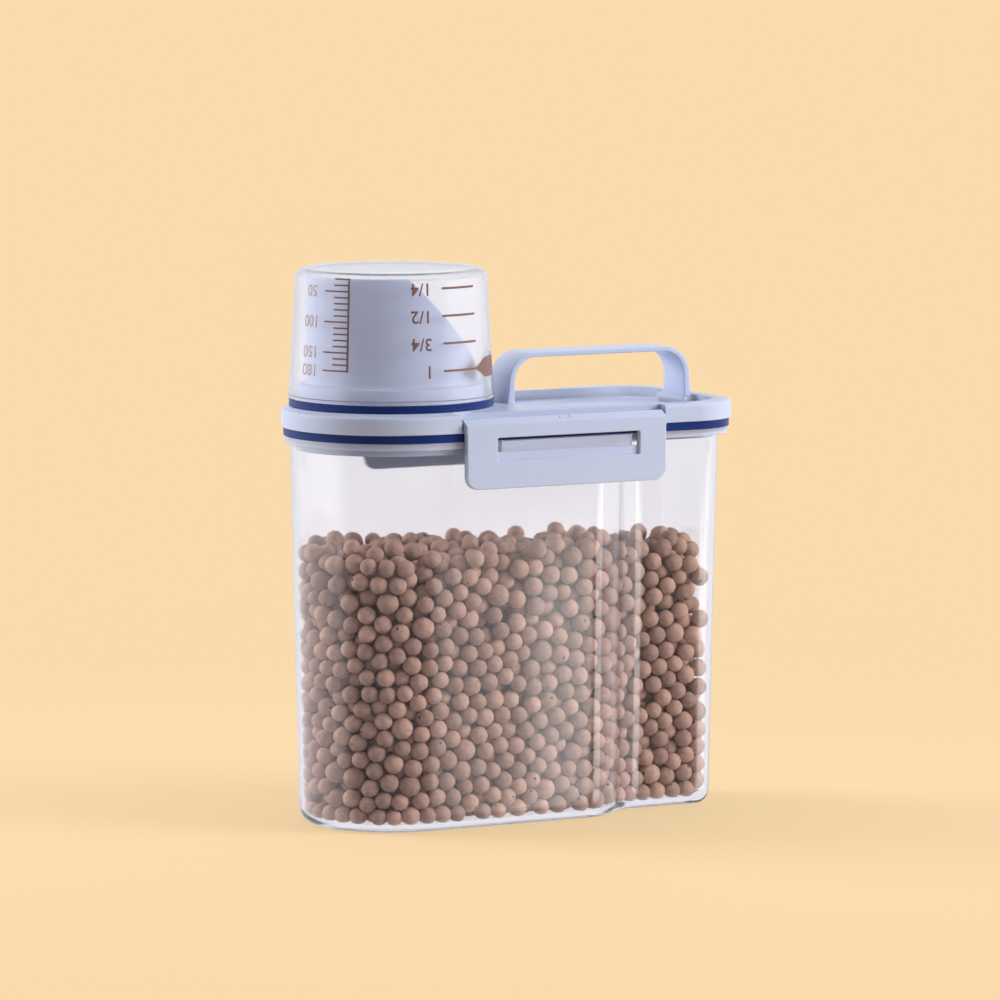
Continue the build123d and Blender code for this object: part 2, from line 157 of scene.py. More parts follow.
class KeeperColours(bpy.types.PropertyGroup):
    """Colours that a user of the keeper would change"""

    lilac: colour_field("Lilac", "Moulded plastic of lid, spout, handle and latches", (0.525, 0.578, 0.755))
    silicone: colour_field("Silicone", "Blue of the two seals", (0.004, 0.023, 0.150))
    clear: colour_field("Clear", "Tint of the clear plastic", (0.965, 0.955, 0.975))
    pellet: colour_field("Pellet", "Baked colour of the dry food", (0.535, 0.345, 0.268))
    ink: colour_field("Ink", "Printed scale on the cup", (0.220, 0.115, 0.095))
    backdrop: colour_field("Backdrop", "Floor and background as the camera sees them", (0.956, 0.708, 0.423))


def sizes():
    """The keeper's sizes in the scene."""
    return bpy.context.scene.keeper_sizes


def colours():
    """The keeper's colours in the scene."""
    return bpy.context.scene.keeper_colours


def arc(cx, cy, r, start, end, count):
    """Points of a circular arc: centre plus r times (cos, sin) of evenly spaced angles."""
    t = np.radians(np.linspace(start, end, count))
    return np.stack([cx + r * np.cos(t), cy + r * np.sin(t)], 1)


def straight(a, b, count):
    """Evenly spaced points from a to b."""
    w = np.linspace(0, 1, count)[:, None]
    return np.asarray(a) * (1 - w) + np.asarray(b) * w


def plan(front_r, rear_half, rear_x, corner):
    """Closed plan outline, counterclockwise from the front tip: a half circle about the
    cup axis, a straight side, an S of two equal arcs whose radius is
    (run squared + step squared) / (4 step), the grip's side, a rounded corner and the
    rear wall, then the same mirrored. The number of points never changes, so outlines
    of different sizes can be joined point to point."""
    s = sizes()
    x0, x1 = CUP_AXIS_X + s.waist_start, CUP_AXIS_X + s.waist_end
    step = max(front_r - rear_half, 0.0)
    parts = [arc(CUP_AXIS_X, 0, front_r, 180, 270, 49)[:-1]]
    parts.append(straight((CUP_AXIS_X, -front_r), (x0, -front_r), 25)[:-1])
    if step > 1e-5:
        run = x1 - x0
        r = (run * run + step * step) / (4 * step)
        turn = math.degrees(math.atan2(run / 2, r - step / 2))
        parts.append(arc(x0, -front_r + r, r, 270, 270 + turn, 15)[:-1])
        parts.append(arc(x1, -rear_half - r, r, 90 + turn, 90, 15)[:-1])
    else:
        parts.append(straight((x0, -front_r), (x1, -rear_half), 29)[:-1])
    parts.append(straight((x1, -rear_half), (rear_x - corner, -rear_half), 9)[:-1])
    parts.append(arc(rear_x - corner, -rear_half + corner, corner, 270, 360, 17)[:-1])
    parts.append(straight((rear_x, -rear_half + corner), (rear_x, 0), 7)[:-1])
    near = np.vstack(parts)
    tip = np.array([[rear_x, 0.0]])
    far = near[1:][::-1] * (1, -1)
    return np.vstack([near, tip, far])


def wall_plan(inset, z):
    """Container outline at height z, inset from the drafted outer wall."""
    s = sizes()
    grow = z * math.tan(s.draft) - inset
    corner = max(s.rear_corner + grow, 1.5 * MM)
    return plan(s.front_radius + grow, s.grip_half + grow, s.rear_x + grow, corner)


def lid_plan(inset):
    """Lid outline, inset inwards."""
    half = -LID_LOW.x + CUP_AXIS_X - inset
    return plan(half, half, LID_HIGH.x - inset, sizes().lid_corner - inset)


def ring_of(outline, z):
    """An outline lifted to a height."""
    return np.column_stack([outline, np.full(len(outline), z)])


def to_spine(outline, share):
    """Outline drawn in towards the middle line: each point keeps that share of its
    distance to the nearest point of the line from the cup axis to the grip."""
    spine = np.column_stack([np.clip(outline[:, 0], CUP_AXIS_X, CUP_AXIS_X + SPINE_LENGTH),
                             np.zeros(len(outline))])
    return spine + (outline - spine) * share


def linked(name, data):
    """New object with its data, linked to the scene."""
    obj = bpy.data.objects.new(name, data)
    bpy.context.scene.collection.objects.link(obj)
    return obj


def surface(name, rows, closed=True):
    """Quad mesh over a grid of points, rows by columns. Neighbouring points make a face,
    closed rows meet their own start, and points that coincide are merged."""
    grid = np.asarray(rows, float)
    index = np.arange(grid.shape[0] * grid.shape[1]).reshape(grid.shape[:2])
    if closed:
        index = np.hstack([index, index[:, :1]])
    a, b = index[:-1], index[1:]
    quads = np.stack([a[:, :-1], a[:, 1:], b[:, 1:], b[:, :-1]], -1).reshape(-1, 4)
    return mesh_object(name, grid.reshape(-1, 3), quads)


def mesh_object(name, points, quads, merge=True):
    """Object from point and quad arrays, with its faces turned outwards by the sign of
    the enclosed volume, and shaded smooth."""
    p = np.asarray(points, float)
    q = np.asarray(quads, int)
    v0, v1, v2, v3 = (p[q[:, k]] for k in range(4))
    volume = (np.cross(v1, v2) * v0).sum() + (np.cross(v2, v3) * v0).sum()
    if volume < 0:
        q = q[:, ::-1]
    mesh = bpy.data.meshes.new(name)
    mesh.vertices.add(len(p))
    mesh.vertices.foreach_set("co", p.ravel())
    mesh.loops.add(q.size)
    mesh.loops.foreach_set("vertex_index", q.ravel().astype(np.int32))
    mesh.polygons.add(len(q))
    mesh.polygons.foreach_set("loop_start", np.arange(0, q.size, 4, dtype=np.int32))
    mesh.update(calc_edges=True)
    mesh.validate()
    if merge:
        work = bmesh.new()
        work.from_mesh(mesh)
        bmesh.ops.remove_doubles(work, verts=work.verts, dist=2e-6)
        bmesh.ops.dissolve_degenerate(work, edges=work.edges, dist=1e-7)
        work.to_mesh(mesh)
        work.free()
    mesh.shade_smooth()
    return linked(name, mesh)


def sharpen(obj, degrees):
    """Splits the shading where faces meet at more than this angle."""
    obj.data.set_sharp_from_angle(angle=math.radians(degrees))
    return obj


def revolved(name, profile, count=192):
    """Surface of revolution about the cup's axis: each profile point (radius, height)
    becomes a circle."""
    t = np.linspace(0, 2 * math.pi, count, endpoint=False)
    prof = np.asarray(profile, float)
    x = CUP_AXIS_X + prof[:, 0, None] * np.cos(t)
    y = prof[:, 0, None] * np.sin(t)
    z = np.broadcast_to(prof[:, 1, None], x.shape)
    return surface(name, np.stack([x, y, z], -1))


def rounded(points, radius, steps):
    """Closed polygon with each corner replaced by a quadratic curve that starts and ends
    at the given distance from the corner, or at 0.45 of a side where that is less."""
    p = np.asarray(points, float)
    out = []
    w = np.linspace(0, 1, steps + 1)[:, None]
    for before, here, after in zip(np.roll(p, 1, 0), p, np.roll(p, -1, 0)):
        la, lb = np.linalg.norm(before - here), np.linalg.norm(after - here)
        cut = min(radius, la * 0.45, lb * 0.45)
        start = here + (before - here) * cut / la
        end = here + (after - here) * cut / lb
        out.append((1 - w) ** 2 * start + 2 * w * (1 - w) * here + w ** 2 * end)
    return np.vstack(out)


def add(tree, kind, inputs=(), **settings):
    """New shader node of a kind, with its settings. An input is linked where its value is
    a socket, and is set where it is a number or a colour."""
    node = tree.nodes.new("ShaderNode" + kind)
    for label, value in settings.items():
        setattr(node, label, value)
    for label, value in dict(inputs).items():
        if isinstance(value, bpy.types.NodeSocket):
            tree.links.new(value, node.inputs[label])
        else:
            node.inputs[label].default_value = value
    return node


def arithmetic(tree, operation, *values):
    """Result of a Math node on two or three sockets or numbers."""
    return add(tree, "Math", dict(enumerate(values)), operation=operation).outputs[0]


def blend(tree, fac, a, b, mode="MIX"):
    """Colour from a to b by a factor."""
    mix = add(tree, "Mix", data_type="RGBA", blend_type=mode)
    for label, value in (("Factor", fac), ("A", a), ("B", b)):
        if isinstance(value, bpy.types.NodeSocket):
            tree.links.new(value, mix.inputs[label])
        else:
            mix.inputs[label].default_value = (*value, 1)
    return mix.outputs["Result"]


def finish(tree, shader):
    """Leads a shader to the material's or the world's output."""
    kind = "Material Output" if "Material Output" in tree.nodes else "World Output"
    tree.links.new(shader.outputs[0], tree.nodes[kind].inputs["Surface"])


def node_group(name, inputs, outputs):
    """Empty shader node group with the given sockets, and its input and output nodes."""
    group = bpy.data.node_groups.new(name, "ShaderNodeTree")
    for label, kind, default in inputs:
        socket = group.interface.new_socket(label, in_out="INPUT", socket_type=kind)
        if default is not None:
            socket.default_value = default
    for label, kind in outputs:
        group.interface.new_socket(label, in_out="OUTPUT", socket_type=kind)
    return group, group.nodes.new("NodeGroupInput"), group.nodes.new("NodeGroupOutput")


def noise(tree, vector, scale, detail=3.0, rough=0.5):
    """Noise texture's value on a vector."""
    sockets = {"Vector": vector, "Scale": scale, "Detail": detail, "Roughness": rough}
    return add(tree, "TexNoise", sockets).outputs["Fac"]


def ramp(tree, value, low, high, to_low, to_high):
    """Value carried from one span to another and held at the ends."""
    sockets = {"Value": value, "From Min": low, "From Max": high, "To Min": to_low, "To Max": to_high}
    return add(tree, "MapRange", sockets).outputs["Result"]


def either(tree, fac, a, b):
    """Mix Shader node: shader a where fac is 0, b where it is 1."""
    return add(tree, "MixShader", {"Fac": fac, 1: a.outputs[0], 2: b.outputs[0]})


def moulded_group():
    """Moulded plastic skin: slow waviness, fine orange peel and faint cloudy tone."""
    found = bpy.data.node_groups.get("moulded skin")
    if found:
        return found
    group, into, out = node_group(
        "moulded skin",
        [("Vector", "NodeSocketVector", None), ("Colour", "NodeSocketColor", None),
         ("Cloud", "NodeSocketFloat", 0.03), ("Wave", "NodeSocketFloat", 0.02),
         ("Peel", "NodeSocketFloat", 0.04), ("Roughness", "NodeSocketFloat", 0.3)],
        [("Colour", "NodeSocketColor"), ("Roughness", "NodeSocketFloat"), ("Normal", "NodeSocketVector")])
    vector, roughness = into.outputs["Vector"], into.outputs["Roughness"]
    centred = ramp(group, noise(group, vector, 35.0, 4.0), 0.3, 0.7, -1.0, 1.0)
    shade = arithmetic(group, "MULTIPLY_ADD", centred, into.outputs["Cloud"], 1.0)
    tint = add(group, "VectorMath", {0: into.outputs["Colour"], "Scale": shade}, operation="SCALE")
    peel = noise(group, vector, 900.0, 2.0)
    both = arithmetic(group, "MULTIPLY_ADD", peel, into.outputs["Peel"], noise(group, vector, 22.0, 1.0))
    bump = add(group, "Bump", {"Distance": 0.002, "Strength": into.outputs["Wave"], "Height": both})
    scuff = ramp(group, noise(group, vector, 40.0, 1.5, 0.4), 0.2, 0.8, -0.04, 0.04)
    rough = arithmetic(group, "MULTIPLY_ADD", scuff, roughness, roughness)
    for label, socket in (("Colour", tint.outputs[0]), ("Roughness", rough), ("Normal", bump.outputs[0])):
        group.links.new(socket, out.inputs[label])
    return group


def material(name):
    """New node material, its tree, its Principled node and its Object coordinates."""
    mat = bpy.data.materials.new(name)
    mat.use_nodes = True
    tree = mat.node_tree
    return mat, tree, tree.nodes["Principled BSDF"], add(tree, "TexCoord").outputs["Object"]


def skin(tree, vector, colour, cloud, wave, roughness, peel=0.04):
    """The moulded skin group placed in a material with its own values."""
    node = tree.nodes.new("ShaderNodeGroup")
    node.node_tree = moulded_group()
    tree.links.new(vector, node.inputs["Vector"])
    values = {"Colour": (*colour, 1), "Cloud": cloud, "Wave": wave, "Peel": peel, "Roughness": roughness}
    for label, value in values.items():
        node.inputs[label].default_value = value
    return node


def wear(tree, shader, node, labels=("Colour", "Roughness", "Normal")):
    """Leads the moulded skin's colour, roughness and normal into a Principled shader."""
    for label in labels:
        tree.links.new(node.outputs[label], shader.inputs["Base Color" if label == "Colour" else label])


def lilac_plastic():
    """Satin lilac plastic with a soft sheen and a little light passing through it."""
    found = bpy.data.materials.get("lilac plastic")
    if found:
        return found
    mat, tree, shader, vector = material("lilac plastic")
    wear(tree, shader, skin(tree, vector, colours().lilac, 0.010, 0.012, 0.26))
    shader.inputs["Specular IOR Level"].default_value = 0.45
    shader.inputs["Subsurface Weight"].default_value = 0.12
    shader.inputs["Subsurface Radius"].default_value = (0.8, 0.9, 1.0)
    shader.inputs["Subsurface Scale"].default_value = 1.5 * MM
    return mat


def clear_plastic(name, haze, roughness, tint=(1.0, 1.0, 1.0)):
    """Clear plastic: refracting, glossy, with a trace of milky haze. Lamps reach through
    it by the transparent shader that only shadow rays meet."""
    found = bpy.data.materials.get(name)
    if found:
        return found
    mat, tree, shader, vector = material(name)
    wear(tree, shader, skin(tree, vector, np.array(colours().clear) * tint, 0.012, 0.03, roughness, 0.0))
    shader.inputs["IOR"].default_value = 1.57
    shader.inputs["Transmission Weight"].default_value = 1.0 - haze
    through = add(tree, "BsdfTransparent", {"Color": (0.94, 0.94, 0.945, 1)})
    finish(tree, either(tree, add(tree, "LightPath").outputs["Is Shadow Ray"], shader, through))
    return mat


def silicone():
    """Matt dark blue silicone with fine grain."""
    mat, tree, shader, vector = material("blue silicone")
    wear(tree, shader, skin(tree, vector, colours().silicone, 0.08, 0.12, 0.42))
    shader.inputs["Sheen Weight"].default_value = 0.05
    shader.inputs["Specular IOR Level"].default_value = 0.3
    return mat


def pin_steel():
    """Drawn stainless wire: fine streaks along the pin."""
    mat, tree, shader, vector = material("pin steel")
    stretch = add(tree, "Mapping", {"Scale": (0.02, 1.0, 1.0), "Vector": vector})
    streak = noise(tree, stretch.outputs["Vector"], 2500.0, 2.0)
    tone = blend(tree, streak, (0.50, 0.50, 0.52), (0.62, 0.62, 0.64))
    tree.links.new(tone, shader.inputs["Base Color"])
    tree.links.new(ramp(tree, streak, 0.3, 0.7, 0.22, 0.38), shader.inputs["Roughness"])
    shader.inputs["Metallic"].default_value = 1.0
    return mat


def dress(obj, mat, body=None, replaces=()):
    """Gives a piece its material and body, and hides the CAD nodes that it stands for."""
    obj.data.materials.clear()
    obj.data.materials.append(mat)
    if body:
        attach(obj, body)
    if replaces:
        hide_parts(*replaces)


def dress_node(node, mat):
    """Puts a material on a CAD node that keeps its own shape."""
    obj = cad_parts[node]
    if not obj.material_slots:
        obj.data.materials.append(mat)
    for place in obj.material_slots:
        place.material = mat


def smooth_copy(node):
    """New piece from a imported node: its triangles merged at shared corners, shaded
    smooth below 30 degrees, with normals weighted by face area so that flats stay flat
    beside their roundings."""
    name = node + "_moulding"
    work = bmesh.new()
    work.from_mesh(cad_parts[node].data)
    bmesh.ops.remove_doubles(work, verts=work.verts, dist=1e-6)
    bmesh.ops.dissolve_degenerate(work, edges=work.edges, dist=1e-5)
    mesh = bpy.data.meshes.new(name)
    work.to_mesh(mesh)
    work.free()
    mesh.shade_smooth()
    obj = sharpen(linked(name, mesh), 30)
    weight = obj.modifiers.new("Weighted normals", "WEIGHTED_NORMAL")
    weight.keep_sharp = True
    weight.weight = 80
    return obj


def shell_rows():
    """Closed wall of the container as outlines in order: recess, foot ring, base
    rounding (a quarter circle of inset against height), drafted wall, flange with its
    turned-down lip, inner wall, inner rounding and floor."""
    s = sizes()
    base, wall, floor = s.base_fillet, s.wall, s.floor
    top = SHELL_HIGH.z
    recess_inset, recess = base + FOOT_WIDTH, RECESS_DEPTH
    lip_low, plate_low = top - LIP_DEPTH, top - PLATE_DEPTH
    inset, lip_wall = s.flange_inset, LIP_WALL
    rows = [ring_of(to_spine(wall_plan(recess_inset, 0), share), recess) for share in (0.0, 0.3, 0.7)]
    rows += [ring_of(wall_plan(recess_inset + d, 0), z) for d, z in
             ((0.2 * MM, recess), (0, recess - 0.1 * MM), (0, 0.15 * MM), (-0.2 * MM, 0.0), (-1.6 * MM, 0.0))]
    turn = np.linspace(0, math.pi / 2, 10)
    rows += [ring_of(wall_plan(base * (1 - math.sin(a)), 0.0), base * (1 - math.cos(a))) for a in turn[:-1]]
    rows += [ring_of(wall_plan(0, z), z) for z in np.linspace(base, plate_low - 0.8 * MM, 40)]
    rows += [ring_of(wall_plan(d, plate_low), z) for d, z in
             ((-0.2 * MM, plate_low - 0.2 * MM), (-0.9 * MM, plate_low))]
    rows += [ring_of(lid_plan(inset + d), z) for d, z in
             ((lip_wall + 0.5 * MM, plate_low), (lip_wall, plate_low - 0.5 * MM),
              (lip_wall, lip_low + 0.3 * MM), (lip_wall - 0.2 * MM, lip_low),
              (0.55 * MM, lip_low), (0.2 * MM, lip_low + 0.1 * MM),
              (0.04 * MM, lip_low + 0.35 * MM), (0, lip_low + 0.7 * MM), (0, top - 0.6 * MM),
              (0.12 * MM, top - 0.2 * MM), (0.5 * MM, top))]
    rows += [ring_of(wall_plan(wall + d, top), z) for d, z in
             ((-0.5 * MM, top), (-0.1 * MM, top - 0.12 * MM), (0, top - 0.5 * MM))]
    inner = base - wall
    rows += [ring_of(wall_plan(wall, z), z) for z in np.linspace(top - 2 * MM, floor + inner, 36)]
    rows += [ring_of(wall_plan(wall + inner * (1 - math.cos(a)), floor), floor + inner * (1 - math.sin(a)))
             for a in turn[1:]]
    rows += [ring_of(to_spine(wall_plan(base, floor), share), floor) for share in (0.75, 0.4, 0.0)]
    return np.array(rows)


def build_shell():
    """Clear container wall, and the catch rib that each latch hooks under."""
    mat = clear_plastic("clear container", 0.012, 0.045)
    shell = sharpen(surface("container_shell", shell_rows()), 40)
    dress(shell, mat, "base", ["container_body"])
    milky = clear_plastic("milky rib", 0.45, 0.22, (0.74, 0.78, 0.90))
    shell.data.materials.append(clear_plastic("milky flange", 0.40, 0.16, (0.80, 0.83, 0.93)))
    centres = np.empty(len(shell.data.polygons) * 3)
    shell.data.polygons.foreach_get("center", centres)
    in_flange = centres.reshape(-1, 3)[:, 2] > SHELL_HIGH.z - FLANGE_DEPTH
    shell.data.polygons.foreach_set("material_index", in_flange.astype(np.int32))
    for name, side in (("catch_rib_front", -1), ("catch_rib_back", 1)):
        profile = rounded([(RIB_SEAT, 168.2 * MM), (RIB_SEAT, 165.2 * MM), (45.6 * MM, 165.2 * MM),
                           (45.6 * MM, 158.9 * MM), (48.5 * MM, 163.5 * MM), (48.5 * MM, 168.2 * MM)],
                          0.35 * MM, 3)
        ends = np.array([(RIB_START, 0.02), (RIB_START, 0.7), (RIB_START + RIB_EASE, 1.0),
                         (RIB_END - RIB_EASE, 1.0), (RIB_END, 0.7), (RIB_END, 0.02)])
        centre = profile.mean(0)
        yz = centre + (profile[None] - centre) * ends[:, 1, None, None]
        x = np.broadcast_to(ends[:, 0, None], yz.shape[:2])
        rib = surface(name, np.stack([x, side * yz[..., 0], yz[..., 1]], -1))
        dress(sharpen(rib, 40), milky, "base")


def pellet_positions():
    """Centres and radii of a heap of balls in the container. The balls start spread
    evenly, and at each step sink a little, part from their neighbours by half of every
    overlap and from the wall by all of it. The wall is the plan outline with its inward
    normals, moved outwards as the draft widens it."""
    s = sizes()
    rng = np.random.default_rng(PELLET_SEED)
    wall_line = plan(s.front_radius, s.grip_half, s.rear_x, s.rear_corner)
    wall_line = wall_line[:len(wall_line) // 2 + 1]
    along = np.gradient(wall_line, axis=0)
    inward = np.column_stack([-along[:, 1], along[:, 0]])
    inward /= np.linalg.norm(inward, axis=1)[:, None]
    spine = np.column_stack([np.clip(wall_line[:, 0], CUP_AXIS_X, POUR_SPINE_END), np.zeros(len(wall_line))])
    inward *= np.sign(((spine - wall_line) * inward).sum(1))[:, None]
    top = FOOD_HIGH.z
    draft = math.tan(s.draft)

    def heap(p):
        return top - ((p[:, 0] - HEAP_PEAK_X) ** 2 + p[:, 1] ** 2) / (2 * HEAP_RADIUS)

    def inside(p):
        q = np.column_stack([p[:, 0], -np.abs(p[:, 1])])
        near = ((q[:, None] - wall_line[None]) ** 2).sum(-1).argmin(1)
        depth = ((q - wall_line[near]) * inward[near]).sum(1) + p[:, 2] * draft - s.wall
        return depth, inward[near]

    spread = rng.uniform(POUR_LOW, POUR_HIGH, (POUR_COUNT, 3))
    spread = spread[inside(spread)[0] > s.pellet_radius * 0.6]
    spread = spread[spread[:, 2] < heap(spread)]
    count = PELLET_COUNT
    p = spread[:count].copy()
    radius = np.clip(rng.normal(s.pellet_radius, PELLET_SPREAD, count), PELLET_SMALLEST, PELLET_LARGE)
    large = rng.uniform(size=count) < LARGE_SHARE
    radius[large] = rng.uniform(PELLET_LARGE, PELLET_LARGEST, large.sum())
    for step in range(PELLET_STEPS):
        if step % 20 == 0:
            square = (p * p).sum(1)
            gap = square[:, None] + square[None] - 2 * p @ p.T
            first, second = np.nonzero(np.triu(gap < (PELLET_REACH * s.pellet_radius) ** 2, 1))
        done = step / PELLET_STEPS
        p[:, 2] -= PELLET_FALL * (1.0 if done < 0.5 else 0.25 if done < 0.75 else 0.0)
        line = p[second] - p[first]
        far = np.linalg.norm(line, axis=1) + 1e-9
        over = radius[first] + radius[second] - far
        hit = over > 0
        push = line[hit] / far[hit, None] * (over[hit, None] * 0.5)
        move = np.zeros_like(p)
        touches = np.ones(count)
        for axis in range(3):
            move[:, axis] += np.bincount(second[hit], push[:, axis], count)
            move[:, axis] -= np.bincount(first[hit], push[:, axis], count)
        touches += np.bincount(second[hit], minlength=count) + np.bincount(first[hit], minlength=count)
        p += move / touches[:, None] * PELLET_PUSH
        depth, normal = inside(p)
        short = np.clip(radius - depth, 0, None)
        p[:, 0] += normal[:, 0] * short
        p[:, 1] += normal[:, 1] * short * np.where(p[:, 1] > 0, -1, 1)
        p[:, 2] = np.maximum(p[:, 2], s.floor + radius + FLOOR_GAP)
    return p, radius, rng


def ball_template(parts=3):
    """Ball as a cube with each side cut into parts by parts squares, every corner
    pushed out to radius one along its own direction."""
    line = np.tan(np.linspace(-1, 1, parts + 1) * math.pi / 4)
    u, v = np.meshgrid(line, line, indexing="ij")
    one = np.ones_like(u)
    sides = [(one, u, v), (-one, v, u), (v, one, u), (u, -one, v), (u, v, one), (v, u, -one)]
    points = np.concatenate([np.stack(side, -1).reshape(-1, 3) for side in sides])
    points /= np.linalg.norm(points, axis=1)[:, None]
    n = parts + 1
    cell = (np.arange(parts)[:, None] * n + np.arange(parts)[None]).ravel()
    quad = np.stack([cell, cell + n, cell + n + 1, cell + 1], 1)
    quads = np.concatenate([quad + k * n * n for k in range(6)])
    key = np.round(points, 5)
    unique, back = np.unique(key, axis=0, return_inverse=True)
    first = np.zeros(len(unique), int)
    first[back.ravel()[::-1]] = np.arange(len(points))[::-1]
    return points[first], back.ravel()[quads]


def build_pellets():
    """The loose food: one small ball per pellet, each turned its own way and with its
    own tone, in three pieces from bottom to top."""
    centres, radius, rng = pellet_positions()
    ball, quads = ball_template()
    turn = rng.normal(size=(len(centres), 4))
    turn /= np.linalg.norm(turn, axis=1)[:, None]
    w, x, y, z = turn.T
    spin = np.stack([1 - 2 * (y * y + z * z), 2 * (x * y - z * w), 2 * (x * z + y * w),
                     2 * (x * y + z * w), 1 - 2 * (x * x + z * z), 2 * (y * z - x * w),
                     2 * (x * z - y * w), 2 * (y * z + x * w), 1 - 2 * (x * x + y * y)], -1).reshape(-1, 3, 3)
    squash = 1 + rng.uniform(-PELLET_SQUASH, PELLET_SQUASH, (len(centres), 1, 3))
    shape = ball[None] * squash * radius[:, None, None]
    points = np.einsum("nij,nkj->nki", spin, shape) + centres[:, None]
    tone = rng.uniform(0, 1, len(centres))
    order = np.argsort(centres[:, 2])
    mat = pellet_food()
    bands = np.array_split(order, 3)
    for number, band in enumerate(bands):
        base = np.arange(len(band))[:, None, None] * len(ball)
        obj = mesh_object(f"food_pellets_{number + 1}", points[band].reshape(-1, 3),
                          (quads[None] + base).reshape(-1, 4), merge=False)
        attribute = obj.data.attributes.new("tone", "FLOAT", "POINT")
        attribute.data.foreach_set("value", np.repeat(tone[band], len(ball)).astype(np.float32))
        dress(obj, mat, "base", ["food_fill"] if number == 0 else [])


def pellet_food():
    """Matt baked pellets: each has its own tone, with fine crumb, soft blotches and a few
    pits, dented by the bump and painted near black as shade."""
    mat, tree, shader, vector = material("baked pellets")
    tone = add(tree, "Attribute", attribute_name="tone").outputs["Fac"]
    base = np.array(colours().pellet)
    baked = blend(tree, tone, base * 0.80, np.minimum(base * 1.22, 1))
    blotch = ramp(tree, noise(tree, vector, 420.0, 4.0, 0.6), 0.42, 0.68, 0.0, 1.0)
    blotched = blend(tree, blotch, baked, (0.80, 0.77, 0.75), "MULTIPLY")
    cells = add(tree, "TexVoronoi", {"Scale": 125.0, "Vector": vector})
    pits = ramp(tree, cells.outputs["Distance"], 0.055, 0.10, 1.0, 0.0)
    # Painted shade: the pits' colour is set near black, on top of their dent in the bump
    pit_painted_shade = blend(tree, pits, blotched, (0.045, 0.022, 0.015))
    crumb = noise(tree, vector, 2600.0, 4.0, 0.65)
    height = arithmetic(tree, "MULTIPLY_ADD", crumb, 0.35, noise(tree, vector, 260.0, 2.0))
    dent = arithmetic(tree, "SUBTRACT", height, pits)
    bump = add(tree, "Bump", {"Strength": 0.45, "Distance": 0.0006, "Height": dent})
    tree.links.new(pit_painted_shade, shader.inputs["Base Color"])
    tree.links.new(bump.outputs["Normal"], shader.inputs["Normal"])
    tree.links.new(ramp(tree, crumb, 0.3, 0.7, 0.72, 0.95), shader.inputs["Roughness"])
    shader.inputs["Specular IOR Level"].default_value = 0.25
    return mat


def cup_radius(z):
    """Outer radius of the upturned cup at a height: a cone with a rounded end."""
    end, rim = CUP_HIGH.z, CUP_LOW.z + CUP_BEAD
    z = np.asarray(z, float)
    cone = CUP_RIM + (CUP_END - CUP_RIM) * (z - rim) / (end - rim)
    over = np.clip(z - (end - CUP_BEND), 0, CUP_BEND)
    return cone - (CUP_BEND - np.sqrt(np.maximum(CUP_BEND ** 2 - over * over, 0)))


def build_cup():
    """Measuring cup, upturned: cone wall, rounded end with a slight crown, rim bead, and
    an inner wall parallel to the outer one."""
    low, end = CUP_LOW.z, CUP_HIGH.z
    outer_z = np.concatenate([np.linspace(low + CUP_BEAD, end - CUP_BEND, 24),
                              end - CUP_BEND * (1 - np.sin(np.linspace(0.12, math.pi / 2 - 0.05, 9)))])
    profile = [(0.0, end - 0.25 * MM), (0.02, end - 0.2 * MM), (0.034, end - 0.03 * MM), (0.0358, end)]
    profile += [(float(cup_radius(z)), z) for z in outer_z[::-1]]
    bead, mouth = CUP_HIGH.x - CUP_AXIS_X, 42.55 * MM
    lip = low + 0.35 * MM
    profile += [(bead - 0.12 * MM, low + 1.55 * MM), (bead, low + 1.3 * MM), (bead, low + 0.4 * MM),
                (bead - 0.12 * MM, low + 0.1 * MM), (bead - 0.4 * MM, low), (mouth + 0.35 * MM, low),
                (mouth + 0.1 * MM, low + 0.1 * MM), (mouth, lip)]
    inner_top = end - 1.9 * MM
    bend = 3.0 * MM
    wall_top = 39.7 * MM
    profile += [(mouth + (wall_top - mouth) * t, lip + (inner_top - bend - lip) * t)
                for t in np.linspace(0.05, 1, 22)]
    profile += [(wall_top - bend * (1 - math.cos(a)), inner_top - bend * (1 - math.sin(a)))
                for a in np.linspace(0.15, math.pi / 2, 8)]
    profile += [(0.02, inner_top - 0.1 * MM), (0.0, inner_top - 0.15 * MM)]
    cup = sharpen(revolved("measuring_cup_shell", profile, 224), 50)
    dress(cup, clear_plastic("clear cup", 0.06, 0.12), "cup", ["measuring_cup"])


def on_cup(u, z):
    """Points just off the cup's outside: u is the distance around the wall in metres
    from the near side, measured to the right, and z the height."""
    r = cup_radius(z) + INK_DEPTH
    t = -math.pi / 2 + u / PRINT_RADIUS
    return np.stack([CUP_AXIS_X + r * np.cos(t), r * np.sin(t), z], -1)


def grid_quads(shape):
    """Corner numbers of the faces between neighbouring points of a grid."""
    index = np.arange(shape[0] * shape[1]).reshape(shape)
    return np.stack([index[:-1, :-1], index[1:, :-1], index[1:, 1:], index[:-1, 1:]], -1).reshape(-1, 4)


def printed_bar(u0, u1, z0, z1):
    """Points and faces of one printed stroke, with a point about every 0.5 mm around."""
    across = max(int((u1 - u0) / (0.5 * MM)), 1)
    up = max(int((z1 - z0) / (2 * MM)), 1)
    u, z = np.meshgrid(np.linspace(u0, u1, across + 1), np.linspace(z0, z1, up + 1), indexing="ij")
    return on_cup(u, z).reshape(-1, 3), grid_quads(u.shape)


def printed_ink(name, paleness):
    """Thin brown print with slightly uneven cover, mixed with white by the paleness."""
    mat, tree, shader, vector = material(name)
    tint = np.array(colours().ink) * (1 - paleness) + paleness * np.array((0.75, 0.72, 0.76))
    wear(tree, shader, skin(tree, vector, tint, 0.12, 0.02, 0.45), ("Colour", "Roughness"))
    return mat


def thicken(obj):
    """Gives a flat print its thin layer of ink."""
    mod = obj.modifiers.new("Ink layer", "SOLIDIFY")
    mod.thickness = INK_DEPTH
    mod.offset = 1.0
    return obj


